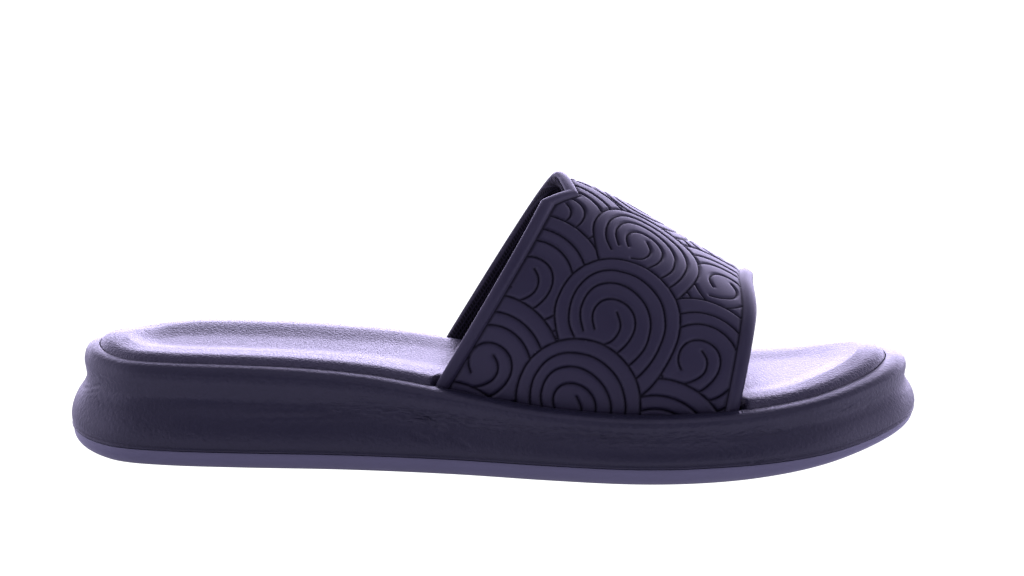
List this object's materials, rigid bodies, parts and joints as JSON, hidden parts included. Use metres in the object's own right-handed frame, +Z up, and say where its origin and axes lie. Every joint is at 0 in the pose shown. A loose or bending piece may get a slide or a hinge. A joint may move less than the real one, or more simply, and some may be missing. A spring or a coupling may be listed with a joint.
{
  "type": "slide sandal",
  "caption": "Sport slide sandal for a right foot: contoured foam sole with a rolled rim, raised footbed, grooved outsole and one wide moulded strap with a relief pattern.",
  "frame": {"origin": "on the floor under the heel seat, 40 mm in front of the heel's rearmost point, on the sole's lengthwise axis", "axes": "+Z up, +X towards the toe, +Y towards the big-toe (medial) side"},
  "size_m": [0.285, 0.1076, 0.0927],
  "materials": {
    "outsole_rubber": "satin",
    "midsole_foam": "satin",
    "footbed_foam": "satin",
    "strap_rubber": "satin"
  },
  "bodies": {
    "root": {"outsole": "outsole_rubber", "midsole": "midsole_foam", "footbed": "footbed_foam", "strap": "strap_rubber"}
  },
  "joints": []
}
